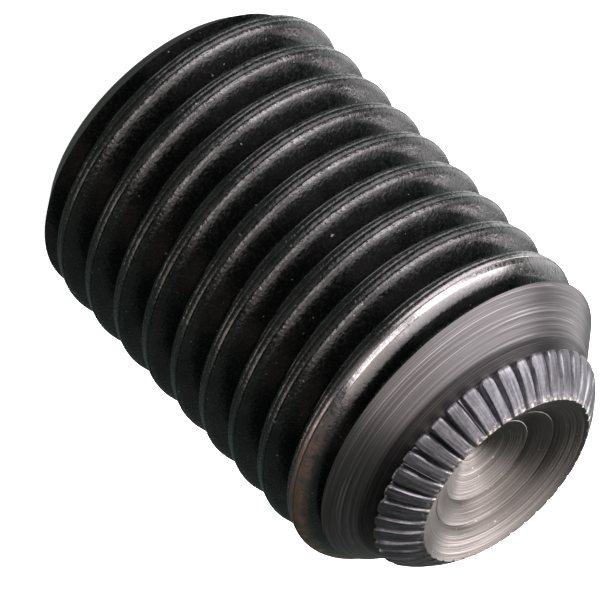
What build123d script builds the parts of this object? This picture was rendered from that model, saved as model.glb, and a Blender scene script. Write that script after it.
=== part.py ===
from build123d import *
import math
import os

# Socket set screw with a knurled cup point: one piece of steel, turned, rolled and punched.
# It stands on its socket end, +Z runs up the axis to the cup, and the origin is the middle of the end face.

# Whole screw, from the flat socket end to the rim of the cup
screw_length = 11.6

# Right-hand fine thread: 8 nominal, with crests a little under that as they leave the rolls.
# The start angle, from +X, is where the groove would pass the height of the cup's rim.
thread_diameter = 7.92
thread_pitch = 1.0
thread_depth = 0.54
thread_flank_angle = 60.0
thread_crest_width = 0.2
thread_start_angle = -109.6

# Socket end: a chamfer that ends below the root of the thread, and a flat ring round the hexagon socket,
# which is punched over a drilled hole and countersunk at its mouth
end_face_diameter = 6.55
end_chamfer_angle = 45.0
socket_sides = 6
socket_across_flats = 4.0
socket_depth = 5.0
socket_tip_angle = 120.0
socket_mouth_clearance = 0.1
socket_mouth_angle = 90.0

# Turned taper from the thread down to the narrow neck behind the knurl, which its depth and diameter place
taper_angle = 45.0
taper_foot_depth = 0.82
neck_diameter = 5.6

# Knurled crown: a blunt cone from the cup's rim out to the back edge, bulging over the straight by the crown rise,
# with V grooves that deepen from the rim to the back
knurl_diameter = 6.07
knurl_height = 0.76
knurl_crown_rise = 0.06
knurl_teeth = 40
knurl_groove_angle = 60.0
knurl_rim_groove_depth = 0.08
knurl_back_groove_depth = 0.15

# Cup: a cone turned into the point, which leaves a sharp rim
cup_rim_diameter = 4.46
cup_cone_angle = 120.0

# Every cut runs this far past what it cuts, and each flank of the thread's groove by this share of the crest
overrun = 0.5
flank_overrun_share = 0.35

thread_radius = thread_diameter / 2
root_radius = thread_radius - thread_depth
neck_radius = neck_diameter / 2
rim_radius = cup_rim_diameter / 2
rim = Vector(rim_radius, 0, screw_length)
knurl_back = Vector(knurl_diameter / 2, 0, screw_length - knurl_height)
crown_normal = Vector(0, 1, 0).cross(rim - knurl_back).normalized()


def tip_height(base_radius, tip_angle):
    """Height of a cone over its base, from the full angle at its tip."""
    return base_radius / math.tan(math.radians(tip_angle / 2))


def turned_blank():
    """The outside and the cup, turned as one profile round the axis."""
    end_face_radius = end_face_diameter / 2
    end_chamfer_height = (thread_radius - end_face_radius) / math.tan(math.radians(end_chamfer_angle))
    taper_foot_z = screw_length - taper_foot_depth
    taper_height = (thread_radius - neck_radius) / math.tan(math.radians(taper_angle))
    cup_bottom = Vector(0, 0, screw_length - tip_height(rim_radius, cup_cone_angle))
    crown_top = (rim + knurl_back) / 2 + crown_normal * knurl_crown_rise
    outline = [
        Polyline(
            cup_bottom,
            (0, 0, 0),
            (end_face_radius, 0, 0),
            (thread_radius, 0, end_chamfer_height),
            (thread_radius, 0, taper_foot_z - taper_height),
            (neck_radius, 0, taper_foot_z),
            (neck_radius, 0, knurl_back.Z),
            knurl_back,
        ),
        ThreePointArc(knurl_back, crown_top, rim),
        Line(rim, cup_bottom),
    ]
    return revolve(make_face(outline), Axis.Z)


def groove_turn():
    """One turn of the thread's groove: a trapezoid swept once round the axis, starting at z = 0."""
    flank_slope = math.tan(math.radians(thread_flank_angle / 2))
    crest_half = (thread_pitch - thread_crest_width) / 2
    root_half = crest_half - thread_depth * flank_slope
    mouth_half = crest_half + thread_crest_width * flank_overrun_share
    mouth_radius = thread_radius + (mouth_half - crest_half) / flank_slope
    section = Polyline(
        (root_radius, 0, -root_half),
        (mouth_radius, 0, -mouth_half),
        (mouth_radius, 0, mouth_half),
        (root_radius, 0, root_half),
        close=True,
    )
    path = Helix(thread_pitch, thread_pitch, root_radius)
    return Rot(0, 0, thread_start_angle) * sweep(make_face(section), path, is_frenet=True)


def knurl_groove():
    """One groove of the knurl: a V that runs over the crown in the plane of the axis and out past its back."""
    first = rim - crown_normal * knurl_rim_groove_depth
    last = knurl_back - crown_normal * knurl_back_groove_depth
    along = (last - first).normalized()
    height = knurl_back_groove_depth + knurl_crown_rise + overrun
    half_width = height * math.tan(math.radians(knurl_groove_angle / 2))
    runout = taper_foot_depth - knurl_height
    section = Plane(first - along * overrun, x_dir=(0, 1, 0), z_dir=along) * Polygon(
        (0, 0), (half_width, height), (-half_width, height), align=None
    )
    return extrude(section, overrun + (last - first).length + runout, dir=along)


def hexagon_socket():
    """The hexagon socket, with the drilled tip it was punched over and a countersunk mouth."""
    flat_radius = socket_across_flats / 2
    hexagon = RegularPolygon(flat_radius, socket_sides, major_radius=False)
    corner_radius = flat_radius / math.cos(math.pi / socket_sides)
    mouth_radius = corner_radius + socket_mouth_clearance
    bottom = (Align.CENTER, Align.CENTER, Align.MIN)
    tip = Cone(flat_radius, 0, tip_height(flat_radius, socket_tip_angle), align=bottom)
    mouth = Cone(mouth_radius, 0, tip_height(mouth_radius, socket_mouth_angle), align=bottom)
    return extrude(hexagon, socket_depth) + Pos(0, 0, socket_depth) * tip + mouth


set_screw = turned_blank() - hexagon_socket()

groove = groove_turn()
thread_turns = math.ceil(screw_length / thread_pitch) + 1
for turn in range(1, thread_turns + 1):
    set_screw = set_screw - Pos(0, 0, screw_length - turn * thread_pitch) * groove

set_screw = set_screw - [place * knurl_groove() for place in PolarLocations(0, knurl_teeth)]

os.makedirs("parts", exist_ok=True)
export_step(set_screw, "parts/set_screw.step")
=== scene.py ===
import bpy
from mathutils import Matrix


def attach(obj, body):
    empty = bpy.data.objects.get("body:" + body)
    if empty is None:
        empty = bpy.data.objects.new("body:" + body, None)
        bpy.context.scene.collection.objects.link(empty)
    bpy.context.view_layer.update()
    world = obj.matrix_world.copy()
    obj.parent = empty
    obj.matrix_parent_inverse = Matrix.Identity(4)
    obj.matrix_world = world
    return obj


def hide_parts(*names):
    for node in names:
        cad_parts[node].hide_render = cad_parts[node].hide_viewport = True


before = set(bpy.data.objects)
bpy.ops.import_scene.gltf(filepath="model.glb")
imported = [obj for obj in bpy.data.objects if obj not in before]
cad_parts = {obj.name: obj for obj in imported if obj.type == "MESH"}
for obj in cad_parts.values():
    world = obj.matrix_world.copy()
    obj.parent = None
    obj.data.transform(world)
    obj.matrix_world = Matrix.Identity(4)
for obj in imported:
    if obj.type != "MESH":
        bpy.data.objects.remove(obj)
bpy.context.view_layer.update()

import math

import bmesh
import bpy
from mathutils import Matrix, Vector


# The bar. The screw starts as a length of alloy steel bar. A lathe turns it to its outline: a flat end with
# a chamfer, the plain shank, and a 45 degree taper that ends in a small hollow and the neck behind the point.
# It is drawn in millimetres as half a section of (radius, height) points and turned about the axis.
MM = 0.001
SHANK_RADIUS = 3.96
END_RADIUS = 3.275
END_EDGE = 0.05
END_EDGE_STEPS = 3
TAPER_START = (SHANK_RADIUS, 9.62)
TAPER_FOOT = (3.09, 10.49)
TAPER_RINGS = 10
HOLLOW_CORNER = (2.86, 10.66)
HOLLOW_STEPS = 7
NECK_RADIUS = 2.78
NECK_Z = 10.81
CORE_Z = 10.2
BAR_STEPS = 240
MERGE = 0.0001


def draw(name, points):
    """Draws a section in the XZ plane, one point after the other."""
    bpy.ops.object.select_all(action="DESELECT")
    bpy.ops.mesh.primitive_plane_add(size=1)
    piece = bpy.context.object
    piece.name = name
    bpy.ops.object.mode_set(mode="EDIT")
    bpy.ops.mesh.select_mode(type="VERT")
    bpy.ops.mesh.select_all(action="SELECT")
    bpy.ops.mesh.merge(type="CENTER")
    bpy.ops.transform.translate(value=(points[0][0], 0, points[0][1]))
    for (r0, z0), (r1, z1) in zip(points, points[1:]):
        bpy.ops.mesh.extrude_region_move(TRANSFORM_OT_translate={"value": (r1 - r0, 0, z1 - z0)})
    bpy.ops.object.mode_set(mode="OBJECT")
    return piece


def turn(piece, steps):
    """Turns a drawn section once round the axis and closes the seam and the poles."""
    bpy.ops.object.mode_set(mode="EDIT")
    bpy.ops.mesh.select_all(action="SELECT")
    bpy.ops.mesh.spin(steps=steps, angle=2 * math.pi, center=(0, 0, 0), axis=(0, 0, 1))
    bpy.ops.mesh.select_all(action="SELECT")
    bpy.ops.mesh.remove_doubles(threshold=MERGE)
    bpy.ops.mesh.normals_make_consistent(inside=False)
    bpy.ops.object.mode_set(mode="OBJECT")


def bend(first, corner, last, steps):
    """Points on a curve that leaves the first point towards the corner and reaches the last from it."""
    shares = [k / steps for k in range(steps + 1)]
    return [
        tuple((1 - t) ** 2 * a + 2 * t * (1 - t) * b + t * t * c for a, b, c in zip(first, corner, last))
        for t in shares
    ]


chamfer_foot = (END_RADIUS + END_EDGE, END_EDGE)
end_edge = bend((END_RADIUS - END_EDGE, 0), (END_RADIUS, 0), chamfer_foot, END_EDGE_STEPS)
chamfer_top = (SHANK_RADIUS, SHANK_RADIUS - END_RADIUS)
taper_shares = [k / TAPER_RINGS for k in range(TAPER_RINGS)]
taper = [tuple(Vector(TAPER_START).lerp(Vector(TAPER_FOOT), share)) for share in taper_shares]
hollow = bend(TAPER_FOOT, HOLLOW_CORNER, (NECK_RADIUS, NECK_Z), HOLLOW_STEPS)
screw = draw("socket_set_screw", [(0, 0), *end_edge, chamfer_top, *taper, *hollow, (0, CORE_Z)])
turn(screw, BAR_STEPS)

# Turned black oxide steel. The lathe tool leaves fine rings round the axis, one feed apart, so light streaks
# across the taper and the oxide on the tops of the rings looks paler. The hollow behind the teeth is darkened
# with painted shade, where the teeth shade it. Sizes and depths are in millimetres.
RING_SPACING = 0.034
RING_DRIFT = 0.012
RING_DETAIL = 4
RING_SHARPNESS = 0.65
TURNED_TONES = [(0.32, "4b4648"), (0.55, "666163"), (0.75, "aca6a9")]
TURNED_ROUGHNESS = 0.36
TURNED_MARK_DEPTH = 0.003
HOLLOW_START = TAPER_FOOT[1] - 0.02
HOLLOW_FULL = TAPER_FOOT[1] + 0.045
HOLLOW_PAINTED_SHADE = 0.3


def linear(code):
    """Linear colour of an sRGB hex value."""
    parts = [int(code[k:k + 2], 16) / 255 for k in (0, 2, 4)]
    return [p / 12.92 if p <= 0.04045 else ((p + 0.055) / 1.055) ** 2.4 for p in parts] + [1]


def add(tree, kind, links=(), values=(), ramp=(), **settings):
    """Adds a node with its settings, socket values, colour ramp stops and links."""
    node = tree.nodes.new(kind)
    for name, value in settings.items():
        setattr(node, name, value)
    for name, value in values:
        node.inputs[name].default_value = value
    for stop, (position, code) in enumerate(ramp):
        if stop == len(node.color_ramp.elements):
            node.color_ramp.elements.new(position)
        node.color_ramp.elements[stop].position = position
        node.color_ramp.elements[stop].color = linear(code)
    for name, source in links:
        tree.links.new(source, node.inputs[name])
    return node


def finish(name):
    """A metal with its node tree, its shader and each point's place in millimetres."""
    material = bpy.data.materials.new(name)
    material.use_nodes = True
    tree = material.node_tree
    shader = tree.nodes["Principled BSDF"]
    shader.inputs["Metallic"].default_value = 1
    metres = add(tree, "ShaderNodeTexCoord").outputs["Object"]
    place = add(tree, "ShaderNodeMapping", [("Vector", metres)], [("Scale", [1 / MM] * 3)]).outputs["Vector"]
    return material, tree, shader, place


def turned_finish(name, roughness, tones, mark_depth):
    """A metal with the tool's rings round the axis, and the colour that they give it."""
    material, tree, shader, place = finish(name)
    shader.inputs["Roughness"].default_value = roughness
    flat_place = add(tree, "ShaderNodeVectorMath", [(0, place)], [(1, (1, 1, 0))], operation="MULTIPLY")
    flat = flat_place.outputs["Vector"]
    radius = add(tree, "ShaderNodeVectorMath", [(0, flat)], operation="LENGTH").outputs["Value"]
    ring = add(tree, "ShaderNodeCombineXYZ", [("X", radius)]).outputs["Vector"]
    drift = add(tree, "ShaderNodeVectorMath", [(0, flat)], [("Scale", RING_DRIFT)], operation="SCALE")
    ring_place = add(tree, "ShaderNodeVectorMath", [(0, ring), (1, drift.outputs["Vector"])], operation="ADD")
    rings = add(
        tree,
        "ShaderNodeTexNoise",
        [("Vector", ring_place.outputs["Vector"])],
        [("Scale", 1 / RING_SPACING), ("Detail", RING_DETAIL), ("Roughness", RING_SHARPNESS)],
    ).outputs["Fac"]
    tone = add(tree, "ShaderNodeValToRGB", [("Fac", rings)], ramp=tones).outputs["Color"]
    marks = add(tree, "ShaderNodeBump", [("Height", rings)], [("Strength", 1), ("Distance", mark_depth * MM)])
    tree.links.new(marks.outputs["Normal"], shader.inputs["Normal"])
    return material, tree, shader, place, tone


turned, tree, shader, place, tone = turned_finish(
    "turned_black_oxide_steel", TURNED_ROUGHNESS, TURNED_TONES, TURNED_MARK_DEPTH
)
height = add(tree, "ShaderNodeSeparateXYZ", [("Vector", place)]).outputs["Z"]
# Painted shade: the base colour is scaled darker in the hollow behind the teeth, where they shade it.
shade = add(
    tree,
    "ShaderNodeMapRange",
    [("Value", height)],
    [("From Min", HOLLOW_START), ("From Max", HOLLOW_FULL), ("To Min", 1), ("To Max", HOLLOW_PAINTED_SHADE)],
).outputs["Result"]
painted_shade_tone = add(tree, "ShaderNodeVectorMath", [(0, tone), ("Scale", shade)], operation="SCALE")
tree.links.new(painted_shade_tone.outputs["Vector"], shader.inputs["Base Color"])
screw.data.materials.append(turned)


# The thread. Hardened dies roll it into the steel of the shank: they press a 60 degree groove in and squeeze
# the steel up into the crest, where it stands in two round lips with a seam between them and a fine line
# beside it. One pitch is drawn as a section, from lip to lip, and screwed round the axis.
PITCH = 1.0
THREAD_TURNS = 15
TURNS_BELOW = 2
FIRST_CREST_Z = 0.4044
FLANK = 60
FLANK_STEPS = 6
LIP_ROUND = 0.13
LIP_SINK = 0.04
LIP_DROP = 0.145
LIP_END = 8
LIP_STEPS = 5
SEAM_DEPTH = 0.056
SEAM_DROP = 0.112
CREST_ROUND = 0.226
CREST_START = -26
CREST_STEPS = (4, 5)
LINE_ANGLE = 13.5
LINE_HALF = 5
LINE_DEPTH = 0.022
ROOT_ROUND = 0.02
ROOT_STEPS = 3


def arc(centre, radius, first, last, steps):
    """Points on an arc of the section, angles in degrees from the radial direction."""
    angles = [math.radians(first + (last - first) * k / steps) for k in range(steps + 1)]
    return [(centre[0] + radius * math.cos(a), centre[1] + radius * math.sin(a)) for a in angles]


lip_centre = (SHANK_RADIUS - LIP_SINK - LIP_ROUND, -LIP_DROP)
crest_centre = (SHANK_RADIUS - CREST_ROUND, 0)
crest = [
    *arc(lip_centre, LIP_ROUND, -FLANK, LIP_END, LIP_STEPS),
    (SHANK_RADIUS - SEAM_DEPTH, -SEAM_DROP),
    *arc(crest_centre, CREST_ROUND, CREST_START, LINE_ANGLE - LINE_HALF, CREST_STEPS[0]),
    arc(crest_centre, CREST_ROUND - LINE_DEPTH, LINE_ANGLE, LINE_ANGLE, 1)[0],
    *arc(crest_centre, CREST_ROUND, LINE_ANGLE + LINE_HALF, FLANK, CREST_STEPS[1]),
]
next_lip = (crest[0][0], crest[0][1] + PITCH)

# The two flanks run to where they would meet, and the root rounds that corner off.
flank_rise = math.tan(math.radians(90 - FLANK))
corner_r = (crest[-1][0] + next_lip[0]) / 2 - (next_lip[1] - crest[-1][1]) / (2 * flank_rise)
corner_z = (crest[-1][1] + next_lip[1] + flank_rise * (crest[-1][0] - next_lip[0])) / 2
root_centre = (corner_r + ROOT_ROUND / math.sin(math.radians(90 - FLANK)), corner_z)
root = arc(root_centre, -ROOT_ROUND, FLANK, -FLANK, ROOT_STEPS)
flank_shares = [k / FLANK_STEPS for k in range(1, FLANK_STEPS)]
flank = [tuple(Vector(crest[-1]).lerp(Vector(root[0]), share)) for share in flank_shares]

thread_start = FIRST_CREST_Z - TURNS_BELOW * PITCH
thread_middle = thread_start + THREAD_TURNS * PITCH / 2
thread = draw("thread", [(r, z + thread_start) for r, z in [*crest, *flank, *root, next_lip]])
roll = thread.modifiers.new("roll", "SCREW")
roll.angle = 2 * math.pi
roll.screw_offset = PITCH
roll.iterations = THREAD_TURNS
roll.steps = roll.render_steps = BAR_STEPS
bpy.ops.object.modifier_apply(modifier="roll")


def close_end(piece, middle, top):
    """Closes the open end above or below the middle with a fan of faces to one point."""
    bpy.ops.object.mode_set(mode="EDIT")
    bpy.ops.mesh.select_mode(type="EDGE")
    bpy.ops.mesh.select_all(action="DESELECT")
    bpy.ops.mesh.select_non_manifold()
    shape = bmesh.from_edit_mesh(piece.data)
    for edge in shape.edges:
        if edge.select and (edge.verts[0].co.z > middle) != top:
            edge.select_set(False)
    bmesh.update_edit_mesh(piece.data)
    bpy.ops.mesh.extrude_region_move()
    bpy.ops.mesh.merge(type="CENTER")
    bpy.ops.object.mode_set(mode="OBJECT")


bpy.ops.object.mode_set(mode="EDIT")
bpy.ops.mesh.select_all(action="SELECT")
bpy.ops.mesh.remove_doubles(threshold=MERGE)
bpy.ops.object.mode_set(mode="OBJECT")
close_end(thread, thread_middle, False)
close_end(thread, thread_middle, True)
bpy.ops.object.mode_set(mode="EDIT")
bpy.ops.mesh.select_all(action="SELECT")
bpy.ops.mesh.normals_make_consistent(inside=False)
bpy.ops.object.mode_set(mode="OBJECT")

# The dies run out at the taper, so the last turn of the crest is left rounder and fuller towards the point.
LAST_CREST_Z = 8.5
LAST_CREST_SPAN = (0.1, 0.5)
LAST_CREST_SWELL = 0.88
LAST_CREST_FADE_IN = 0.3
LAST_CREST_FADE_OUT = 0.12
for vertex in thread.data.vertices:
    crest_z = FIRST_CREST_Z + PITCH * (math.atan2(vertex.co.y, vertex.co.x) / (2 * math.pi) % 1)
    crest_z += PITCH * math.ceil((LAST_CREST_Z - crest_z) / PITCH)
    share = (vertex.co.z - crest_z - LAST_CREST_SPAN[0]) / (LAST_CREST_SPAN[1] - LAST_CREST_SPAN[0])
    if 0 < share < 1:
        fade_in = (crest_z - LAST_CREST_Z) / LAST_CREST_FADE_IN
        fade_out = (LAST_CREST_Z + PITCH - crest_z) / LAST_CREST_FADE_OUT
        swell = LAST_CREST_SWELL * share ** 2 * (1 - share) * min(1, fade_in, fade_out)
        stretch = 1 + swell / math.hypot(vertex.co.x, vertex.co.y)
        vertex.co.x *= stretch
        vertex.co.y *= stretch

# Rolled black oxide steel. The dies burnish it, so it is dark and glossy with narrow highlights. The oxide
# has a fine grain that breaks their edges on the crests and fades down the flanks, and a trace of teal in
# its shaded parts. The grain is finer in life, and is drawn as coarse as it needs to show. Sizes are in mm.
GRAIN = 0.075
GRAIN_DEPTH = 0.015
GRAIN_RANGE = (0.3, 0.7)
GRAIN_GLOSS = (0.13, 0.34)
GRAIN_FADE = (SHANK_RADIUS - 0.4, SHANK_RADIUS - 0.1)
GRAIN_ON_FLANK = 0.35
BLOTCH = 0.625
ROLLED_TONES = [(0.35, "3e3b3c"), (0.65, "4b4849")]
SHEEN = 0.007
SHEEN_ROUGHNESS = 0.6
SHEEN_TINT = "80f8d8"
rolled, tree, shader, place = finish("rolled_black_oxide_steel")
shader.inputs["Sheen Weight"].default_value = SHEEN
shader.inputs["Sheen Roughness"].default_value = SHEEN_ROUGHNESS
shader.inputs["Sheen Tint"].default_value = linear(SHEEN_TINT)
grain = add(
    tree, "ShaderNodeTexNoise", [("Vector", place)], [("Scale", 1 / GRAIN), ("Detail", 3)]
).outputs["Fac"]
blotch = add(
    tree, "ShaderNodeTexNoise", [("Vector", place)], [("Scale", 1 / BLOTCH), ("Detail", 4)]
).outputs["Fac"]
tone = add(tree, "ShaderNodeValToRGB", [("Fac", blotch)], ramp=ROLLED_TONES).outputs["Color"]
gloss = add(
    tree,
    "ShaderNodeMapRange",
    [("Value", grain)],
    [
        ("From Min", GRAIN_RANGE[0]),
        ("From Max", GRAIN_RANGE[1]),
        ("To Min", GRAIN_GLOSS[0]),
        ("To Max", GRAIN_GLOSS[1]),
    ],
).outputs["Result"]
flat_place = add(tree, "ShaderNodeVectorMath", [(0, place)], [(1, (1, 1, 0))], operation="MULTIPLY")
flat = flat_place.outputs["Vector"]
radius = add(tree, "ShaderNodeVectorMath", [(0, flat)], operation="LENGTH").outputs["Value"]
outer = add(
    tree,
    "ShaderNodeMapRange",
    [("Value", radius)],
    [("From Min", GRAIN_FADE[0]), ("From Max", GRAIN_FADE[1]), ("To Min", GRAIN_ON_FLANK), ("To Max", 1)],
).outputs["Result"]

# The last crest is rubbed bright on the side of the camera and browned at one end. Its place is told by the
# height at which its turn of the thread would pass azimuth 0, and by x and y, all in millimetres.
RUBBED_FROM = (9.2, 9.42)
RUBBED_TO = (9.6, 9.76)
RUBBED_SIDE = (-0.4, -2.4)
RUBBED_COLOUR = "8a8385"
RUBBED_GRAIN = 0.15
BROWN_SIDE = (1.4, 2.6)
BROWN_COLOUR = "7a5d51"
BROWN_PATCH = 0.2
BROWN_EDGE = (0.35, 0.6)
BROWN_LEAST = 0.3
axes = add(tree, "ShaderNodeSeparateXYZ", [("Vector", place)]).outputs
angle = add(tree, "ShaderNodeMath", [(0, axes["Y"]), (1, axes["X"])], operation="ARCTAN2").outputs["Value"]
turn_z = add(
    tree,
    "ShaderNodeMath",
    [(0, angle), (2, axes["Z"])],
    [(1, -PITCH / (2 * math.pi))],
    operation="MULTIPLY_ADD",
).outputs["Value"]
above = add(
    tree,
    "ShaderNodeMapRange",
    [("Value", turn_z)],
    [("From Min", RUBBED_FROM[0]), ("From Max", RUBBED_FROM[1])],
).outputs["Result"]
below = add(
    tree,
    "ShaderNodeMapRange",
    [("Value", turn_z)],
    [("From Min", RUBBED_TO[0]), ("From Max", RUBBED_TO[1]), ("To Min", 1), ("To Max", 0)],
).outputs["Result"]
near = add(
    tree,
    "ShaderNodeMapRange",
    [("Value", axes["Y"])],
    [("From Min", RUBBED_SIDE[0]), ("From Max", RUBBED_SIDE[1])],
).outputs["Result"]
right_side = add(
    tree,
    "ShaderNodeMapRange",
    [("Value", axes["X"])],
    [("From Min", BROWN_SIDE[0]), ("From Max", BROWN_SIDE[1])],
).outputs["Result"]
crest_top = add(tree, "ShaderNodeMath", [(0, above), (1, below)], operation="MULTIPLY").outputs["Value"]
rubbed = add(tree, "ShaderNodeMath", [(0, crest_top), (1, near)], operation="MULTIPLY").outputs["Value"]
patches = add(
    tree, "ShaderNodeTexNoise", [("Vector", place)], [("Scale", 1 / BROWN_PATCH), ("Detail", 5)]
).outputs["Fac"]
patch = add(
    tree,
    "ShaderNodeMapRange",
    [("Value", patches)],
    [("From Min", BROWN_EDGE[0]), ("From Max", BROWN_EDGE[1]), ("To Min", BROWN_LEAST), ("To Max", 1)],
).outputs["Result"]
crest_end = add(
    tree, "ShaderNodeMath", [(0, crest_top), (1, right_side)], operation="MULTIPLY"
).outputs["Value"]
brown = add(tree, "ShaderNodeMath", [(0, crest_end), (1, patch)], operation="MULTIPLY").outputs["Value"]
bright = add(
    tree,
    "ShaderNodeMix",
    [("Factor", rubbed), ("A", tone)],
    [("B", linear(RUBBED_COLOUR))],
    data_type="RGBA",
).outputs["Result"]
browned = add(
    tree,
    "ShaderNodeMix",
    [("Factor", brown), ("A", bright)],
    [("B", linear(BROWN_COLOUR))],
    data_type="RGBA",
).outputs["Result"]

# A few specks of dust lie on the thread, pale and matt.
SPECK = 0.12
SPECK_EDGE = (0.74, 0.77)
SPECK_COLOUR = "a8a49c"
MATT_ROUGHNESS = 0.6
motes = add(
    tree, "ShaderNodeTexNoise", [("Vector", place)], [("Scale", 1 / SPECK), ("Detail", 2)]
).outputs["Fac"]
speck = add(
    tree,
    "ShaderNodeMapRange",
    [("Value", motes)],
    [("From Min", SPECK_EDGE[0]), ("From Max", SPECK_EDGE[1])],
).outputs["Result"]
dusty = add(
    tree,
    "ShaderNodeMix",
    [("Factor", speck), ("A", browned)],
    [("B", linear(SPECK_COLOUR))],
    data_type="RGBA",
).outputs["Result"]
matt = add(tree, "ShaderNodeMath", [(0, speck), (1, brown)], operation="MAXIMUM").outputs["Value"]
rough = add(
    tree, "ShaderNodeMix", [("Factor", matt), ("A", gloss)], [("B", MATT_ROUGHNESS)]
).outputs["Result"]
smooth = add(tree, "ShaderNodeMath", [(0, rubbed), (1, brown)], operation="SUBTRACT").outputs["Value"]
left_grain = add(
    tree, "ShaderNodeMapRange", [("Value", smooth)], [("To Min", 1), ("To Max", RUBBED_GRAIN)]
).outputs["Result"]
grain_strength = add(
    tree, "ShaderNodeMath", [(0, left_grain), (1, outer)], operation="MULTIPLY"
).outputs["Value"]
pits = add(
    tree,
    "ShaderNodeBump",
    [("Height", grain), ("Strength", grain_strength)],
    [("Distance", GRAIN_DEPTH * MM)],
)
tree.links.new(dusty, shader.inputs["Base Color"])
tree.links.new(rough, shader.inputs["Roughness"])
tree.links.new(pits.outputs["Normal"], shader.inputs["Normal"])
thread.data.materials.append(rolled)


def combine(piece, tool, operation):
    """Keeps, adds or takes away what a second shape covers, and deletes that shape."""
    bpy.ops.object.select_all(action="DESELECT")
    bpy.context.view_layer.objects.active = piece
    piece.select_set(True)
    cut = piece.modifiers.new("cut", "BOOLEAN")
    cut.operation = operation
    cut.solver = "MANIFOLD"
    cut.object = tool
    cut.material_mode = "TRANSFER"
    bpy.ops.object.modifier_apply(modifier="cut")
    bpy.data.objects.remove(tool)


combine(screw, thread, "INTERSECT")


# The point. A blunt crown is turned on the end of the steel bar, and a cone with two tool rings in it is
# turned into that for the cup. Forty grooves are then pressed over the crown, so that it stands in flat
# topped teeth behind a notched rim, which bites into the shaft that the screw locks.
RIM = (2.23, 11.6)
CROWN_BACK = (3.035, 10.84)
CROWN_RISE = 0.06
CROWN_STEPS = 14
HEEL = 0.12
HEEL_STEPS = 7
HEEL_FROM = 3
CUP_SLOPE = 30
CUP_RINGS = ((1.1, 0.012), (1.58, 0.016))
CUP_RING_HALF = 0.014
CUP_INNER_RADII = (0, 0.05, 0.15, 0.3, 0.45, 0.6, 0.75)
CUP_OUTER_RADII = (1.8, 2.05, 2.16)
POINT_FOOT = ((NECK_RADIUS - 0.03, 10.4), (0, 10.1))
TEETH = 40
TOOTH_STEPS = 18

run = Vector(CROWN_BACK) - Vector(RIM)
rise_point = (Vector(RIM) + Vector(CROWN_BACK)) / 2 + Vector((-run.y, run.x)).normalized() * CROWN_RISE * 2
crown = bend(RIM, tuple(rise_point), CROWN_BACK, CROWN_STEPS)
crown_shares = [k / CROWN_STEPS for k in range(CROWN_STEPS + 1)]
heel = bend(crown[-HEEL_FROM], CROWN_BACK, (CROWN_BACK[0] - HEEL, CROWN_BACK[1]), HEEL_STEPS)
heel_share = crown_shares[-HEEL_FROM]
heel_shares = [heel_share + (1 - heel_share) * k / HEEL_STEPS for k in range(HEEL_STEPS + 1)]
tops = crown[:-HEEL_FROM] + heel
top_shares = crown_shares[:-HEEL_FROM] + heel_shares
cup_slope = math.tan(math.radians(CUP_SLOPE))


def cup_z(radius):
    """Height of the cup's cone at a radius."""
    return RIM[1] - (RIM[0] - radius) * cup_slope


cup = [(r, cup_z(r)) for r in CUP_INNER_RADII]
for ring_radius, ring_depth in CUP_RINGS:
    cup.append((ring_radius - CUP_RING_HALF, cup_z(ring_radius - CUP_RING_HALF)))
    cup.append((ring_radius, cup_z(ring_radius) - ring_depth))
    cup.append((ring_radius + CUP_RING_HALF, cup_z(ring_radius + CUP_RING_HALF)))
cup += [(r, cup_z(r)) for r in CUP_OUTER_RADII]
point = draw("point", [*cup, *tops, (NECK_RADIUS, CROWN_BACK[1]), *POINT_FOOT])
turn(point, TEETH * TOOTH_STEPS)

# Each groove presses the crown in between two teeth. Widths are shares of half a tooth, and no two grooves
# are quite alike, as the photograph shows.
RIM_VALLEY = (2.2, 11.58)
BACK_VALLEY = (2.85, 10.84)
GAP_AT_RIM = 0.3
GAP_GROWTH = 0.08
GAP_FLARE = 0.3
GAP_FLARE_FROM = 0.8
GROOVE_ROUNDNESS = 1.4
TOOTH_CAMBER = 0.06
SHIFT = 0.05
SHIFT_SEED = 78.233
STRENGTH_SPREAD = 0.2
STRENGTH_SEED = 12.9898
SAME_PLACE = 10 * MERGE
for vertex in point.data.vertices:
    vertex_radius = math.hypot(vertex.co.x, vertex.co.y)
    for top, share in zip(tops, top_shares):
        if abs(vertex_radius - top[0]) + abs(vertex.co.z - top[1]) < SAME_PLACE:
            tooth_place = math.atan2(vertex.co.y, vertex.co.x) / (2 * math.pi) * TEETH
            groove = round(tooth_place) % TEETH
            shift = SHIFT * math.sin(groove * SHIFT_SEED)
            strength = 1 + STRENGTH_SPREAD * math.sin(groove * STRENGTH_SEED)
            from_valley = 2 * abs(tooth_place - round(tooth_place) - shift)
            flare = max(0, (share - GAP_FLARE_FROM) / (1 - GAP_FLARE_FROM)) ** 2
            half_gap = GAP_AT_RIM + GAP_GROWTH * share + GAP_FLARE * flare
            camber = TOOTH_CAMBER * (1 - min(1, from_valley)) ** 2
            press = strength * max(0, 1 - from_valley / half_gap) ** GROOVE_ROUNDNESS + camber
            valley = Vector(RIM_VALLEY).lerp(Vector(BACK_VALLEY), share)
            stretch = (top[0] + (valley.x - top[0]) * press) / vertex_radius
            vertex.co.x *= stretch
            vertex.co.y *= stretch
            vertex.co.z = top[1] + (valley.y - top[1]) * press
            break

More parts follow.
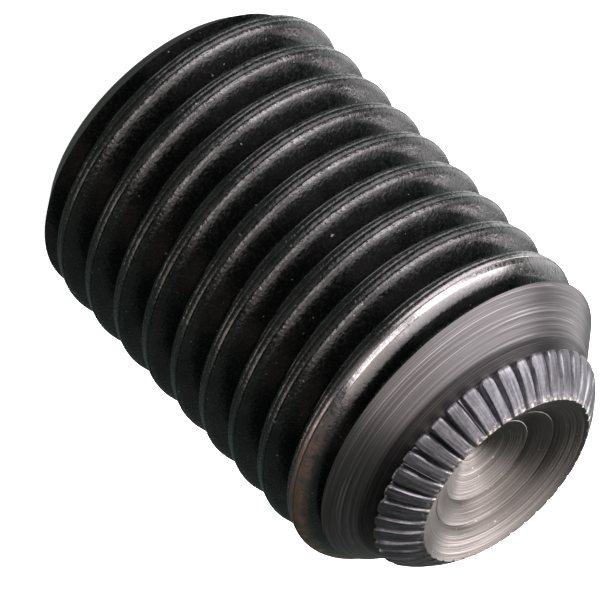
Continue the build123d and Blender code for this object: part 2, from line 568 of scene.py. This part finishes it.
# Pressed black oxide steel, on the teeth. The knurling wheel drags the steel's skin along each tooth, which
# leaves fine lines that way in a duller grey, and the rim is nicked down to pale steel. Sizes are in mm.
PRESSED_GRAIN = 1 / 12
PRESSED_TONES = [(0.52, "4e4a4f"), (0.68, "636065"), (0.84, "7b777d")]
PRESSED_ROUGHNESS = 0.4
PRESSED_DEPTH = 0.006
DRAG_SPACING = 0.06
DRAG_RADIUS = 2.6
DRAG_STRETCH = 0.12
GRAIN_IN_DRAG = 0.35
NICK_HEIGHT = 0.1
NICK_EDGE = (0.52, 0.6)
NICK_COLOUR = "b3a99c"
pressed, tree, shader, place = finish("pressed_black_oxide_steel")
shader.inputs["Roughness"].default_value = PRESSED_ROUGHNESS
grain = add(
    tree, "ShaderNodeTexNoise", [("Vector", place)], [("Scale", 1 / PRESSED_GRAIN), ("Detail", 4)]
).outputs["Fac"]
axes = add(tree, "ShaderNodeSeparateXYZ", [("Vector", place)]).outputs
angle = add(tree, "ShaderNodeMath", [(0, axes["Y"]), (1, axes["X"])], operation="ARCTAN2").outputs["Value"]
unrolled = add(tree, "ShaderNodeCombineXYZ", [("X", angle), ("Z", axes["Z"])]).outputs["Vector"]
drag_place = add(
    tree,
    "ShaderNodeVectorMath",
    [(0, unrolled)],
    [(1, (DRAG_RADIUS, 1, DRAG_STRETCH))],
    operation="MULTIPLY",
).outputs["Vector"]
drag = add(
    tree, "ShaderNodeTexNoise", [("Vector", drag_place)], [("Scale", 1 / DRAG_SPACING), ("Detail", 3)]
).outputs["Fac"]
worked = add(
    tree, "ShaderNodeMath", [(0, grain), (2, drag)], [(1, GRAIN_IN_DRAG)], operation="MULTIPLY_ADD"
).outputs["Value"]
tone = add(tree, "ShaderNodeValToRGB", [("Fac", worked)], ramp=PRESSED_TONES).outputs["Color"]
near_rim = add(
    tree,
    "ShaderNodeMapRange",
    [("Value", axes["Z"])],
    [("From Min", RIM[1] - NICK_HEIGHT), ("From Max", RIM[1])],
).outputs["Result"]
nicks = add(
    tree,
    "ShaderNodeMapRange",
    [("Value", grain)],
    [("From Min", NICK_EDGE[0]), ("From Max", NICK_EDGE[1])],
).outputs["Result"]
bare = add(tree, "ShaderNodeMath", [(0, near_rim), (1, nicks)], operation="MULTIPLY").outputs["Value"]
nicked = add(
    tree,
    "ShaderNodeMix",
    [("Factor", bare), ("A", tone)],
    [("B", linear(NICK_COLOUR))],
    data_type="RGBA",
).outputs["Result"]
lines = add(tree, "ShaderNodeBump", [("Height", worked)], [("Strength", 1), ("Distance", PRESSED_DEPTH * MM)])
tree.links.new(nicked, shader.inputs["Base Color"])
tree.links.new(lines.outputs["Normal"], shader.inputs["Normal"])
point.data.materials.append(pressed)

# Turned black oxide steel, in the cup. The tool's rings are deeper than the taper's, so that their edges
# glint, and the brown grey oxide is flecked with dust. Sizes are in millimetres.
CUP_TONES = [(0.32, "4a4442"), (0.55, "635c5a"), (0.75, "8a827f")]
CUP_ROUGHNESS = 0.33
CUP_MARK_DEPTH = 0.007
CUP_SKIN = 0.002
FLECK = 0.1
FLECK_EDGE = (0.7, 0.78)
FLECK_COLOUR = "948d84"
cup_turned, tree, shader, place, tone = turned_finish(
    "turned_cup_black_oxide_steel", CUP_ROUGHNESS, CUP_TONES, CUP_MARK_DEPTH
)
flecks = add(
    tree, "ShaderNodeTexNoise", [("Vector", place)], [("Scale", 1 / FLECK), ("Detail", 2)]
).outputs["Fac"]
fleck = add(
    tree,
    "ShaderNodeMapRange",
    [("Value", flecks)],
    [("From Min", FLECK_EDGE[0]), ("From Max", FLECK_EDGE[1])],
).outputs["Result"]
flecked = add(
    tree,
    "ShaderNodeMix",
    [("Factor", fleck), ("A", tone)],
    [("B", linear(FLECK_COLOUR))],
    data_type="RGBA",
).outputs["Result"]
tree.links.new(flecked, shader.inputs["Base Color"])
point.data.materials.append(cup_turned)
for face in point.data.polygons:
    face_radius = math.hypot(face.center.x, face.center.y)
    in_cup = face_radius < RIM[0] and face.center.z < cup_z(face_radius) + CUP_SKIN
    if in_cup and face.normal.z > 0:
        face.material_index = 1
combine(screw, point, "UNION")


# The socket. A pilot hole is drilled into the flat end of the steel and leaves a cone at its bottom, a punch
# then forms the hexagon for a 4 mm key, and the mouth is countersunk. It keeps the turned finish.
SOCKET_ACROSS_FLATS = 4.0
SOCKET_DEPTH = 5.0
SOCKET_MOUTH_RADIUS = 2.41
SOCKET_STEPS = 96
PUNCH_OVERRUN = 1
DRILL_CLEARANCE = 0.01
DRILL_OVERLAP = 0.3
MOUTH_OVERRUN = 0.5
flat_radius = SOCKET_ACROSS_FLATS / 2
bpy.ops.object.select_all(action="DESELECT")
bpy.ops.mesh.primitive_cylinder_add(
    vertices=6,
    radius=flat_radius / math.cos(math.pi / 6),
    depth=SOCKET_DEPTH + PUNCH_OVERRUN,
    location=(0, 0, (SOCKET_DEPTH - PUNCH_OVERRUN) / 2),
)
hexagon = bpy.context.object
bpy.ops.object.transform_apply(location=True, rotation=True, scale=True)
combine(screw, hexagon, "DIFFERENCE")
drill_radius = flat_radius - DRILL_CLEARANCE
tip = draw(
    "tip",
    [
        (0, SOCKET_DEPTH - DRILL_OVERLAP),
        (drill_radius, SOCKET_DEPTH - DRILL_OVERLAP),
        (drill_radius, SOCKET_DEPTH),
        (0, SOCKET_DEPTH + flat_radius * cup_slope),
    ],
)
turn(tip, SOCKET_STEPS)
combine(screw, tip, "DIFFERENCE")
mouth = draw(
    "mouth",
    [(0, -MOUTH_OVERRUN), (SOCKET_MOUTH_RADIUS + MOUTH_OVERRUN, -MOUTH_OVERRUN), (0, SOCKET_MOUTH_RADIUS)],
)
turn(mouth, SOCKET_STEPS)
combine(screw, mouth, "DIFFERENCE")

# The finished screw is made metres and shaded smooth, with an even shine over the cuts.
SMOOTH_ANGLE = 32
bpy.ops.object.select_all(action="DESELECT")
bpy.context.view_layer.objects.active = screw
screw.select_set(True)
screw.scale = (MM, MM, MM)
bpy.ops.object.transform_apply(location=True, rotation=True, scale=True)
bpy.ops.object.shade_smooth_by_angle(angle=math.radians(SMOOTH_ANGLE))
even = screw.modifiers.new("even", "WEIGHTED_NORMAL")
even.keep_sharp = True
bpy.ops.object.modifier_apply(modifier="even")

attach(screw, "root")
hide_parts("set_screw")


# The floor. The screw stands on a light table, a plain white sheet of opal acrylic that glows softly, which
# gives the photograph's white ground. It stays out of the screw's reflections and casts no shadow on it.
FLOOR_SIZE = 2
FLOOR_COLOUR = "f4f4f4"
FLOOR_ROUGHNESS = 0.9
FLOOR_GLOW_COLOUR = "ffffff"
FLOOR_GLOW = 0.9
bpy.ops.object.select_all(action="DESELECT")
bpy.ops.mesh.primitive_plane_add(size=FLOOR_SIZE)
floor = bpy.context.object
floor.name = "floor"
acrylic = bpy.data.materials.new("opal_acrylic")
acrylic.use_nodes = True
shader = acrylic.node_tree.nodes["Principled BSDF"]
shader.inputs["Base Color"].default_value = linear(FLOOR_COLOUR)
shader.inputs["Roughness"].default_value = FLOOR_ROUGHNESS
shader.inputs["Emission Color"].default_value = linear(FLOOR_GLOW_COLOUR)
shader.inputs["Emission Strength"].default_value = FLOOR_GLOW
floor.data.materials.append(acrylic)
floor.visible_glossy = False
floor.visible_shadow = False


# The light is a plain studio's: softboxes, mostly on the side that the photograph shows lit, in a dim room.
# Those with a negative elevation stand below the table and light the lower sides of the crests.
# Angles are in degrees round the screw, and sizes in metres.
ROOM_COLOUR = (0.8, 0.94, 0.85, 1)
ROOM_STRENGTH = 0.14
LIGHT_TARGET = Vector((0, 0, 0.006))
WHITE = (1, 1, 1)
WARM = (1, 0.93, 0.87)
room = bpy.data.worlds.new("studio")
bpy.context.scene.world = room
room.use_nodes = True
room.node_tree.nodes["Background"].inputs["Color"].default_value = ROOM_COLOUR
room.node_tree.nodes["Background"].inputs["Strength"].default_value = ROOM_STRENGTH


def softbox(name, azimuth, elevation, distance, width, height, radiance, colour=WHITE):
    """A rectangular area light that faces the middle of the screw."""
    a = math.radians(azimuth)
    e = math.radians(elevation)
    towards = Vector((math.cos(e) * math.cos(a), math.cos(e) * math.sin(a), math.sin(e)))
    light = bpy.data.objects.new(name, bpy.data.lights.new(name, "AREA"))
    bpy.context.collection.objects.link(light)
    light.data.shape = "RECTANGLE"
    light.data.size = width
    light.data.size_y = height
    light.data.energy = radiance * math.pi * width * height
    light.data.color = colour
    light.location = LIGHT_TARGET + towards * distance
    light.rotation_euler = towards.to_track_quat("Z", "Y").to_euler()
    return light


softbox("key", 198, 28, 0.3, 0.4, 0.16, 4.5)
softbox("core", 208, 23, 0.28, 0.3, 0.06, 7.5)
softbox("top", 190, 58, 0.3, 0.3, 0.16, 2.2)
softbox("low", 210, -26, 0.3, 0.46, 0.15, 3.2)
softbox("front", 270, 28, 0.3, 0.24, 0.09, 6.0)
softbox("front_top", 275, 60, 0.3, 0.22, 0.18, 1.3, WARM)
softbox("front_low", 287, -27, 0.3, 0.15, 0.12, 0.4, WARM)
softbox("cup", 108, 48, 0.3, 0.22, 0.24, 8.0)
softbox("side", 132, -8, 0.3, 0.2, 0.3, 1.8)
softbox("fill", 330, -18, 0.3, 0.16, 0.16, 2.4, WARM)
softbox("zenith", 165, 86, 0.3, 0.16, 0.16, 1.6)

# The box overhead is there for the floor, and the screw doesn't mirror it.
overhead = softbox("overhead", 0, 90, 0.4, 0.5, 0.5, 4.5)
overhead.visible_glossy = False
bpy.context.scene.view_settings.view_transform = "Standard"


# The camera looks at the screw as the photograph does, rolled so that the point is at the lower right.
# Its place is in metres. It was found by fitting the photograph's outline and crests.
CAMERA_PLACE = (0.0003910, -0.1082878, 0.0614593)
CAMERA_RIGHT = (-0.71832, 0.32057, 0.61746)
CAMERA_DOWN = (0.69571, 0.33098, 0.63752)
LENS = 335.65
SENSOR = 36
CLIP = (0.01, 10)
camera = bpy.data.objects.new("camera", bpy.data.cameras.new("camera"))
bpy.context.collection.objects.link(camera)
right = Vector(CAMERA_RIGHT).normalized()
up = -Vector(CAMERA_DOWN).normalized()
facing = Matrix((right, up, right.cross(up))).transposed().to_4x4()
camera.matrix_world = Matrix.Translation(CAMERA_PLACE) @ facing
camera.data.lens = LENS
camera.data.sensor_width = SENSOR
camera.data.clip_start = CLIP[0]
camera.data.clip_end = CLIP[1]
bpy.context.scene.camera = camera
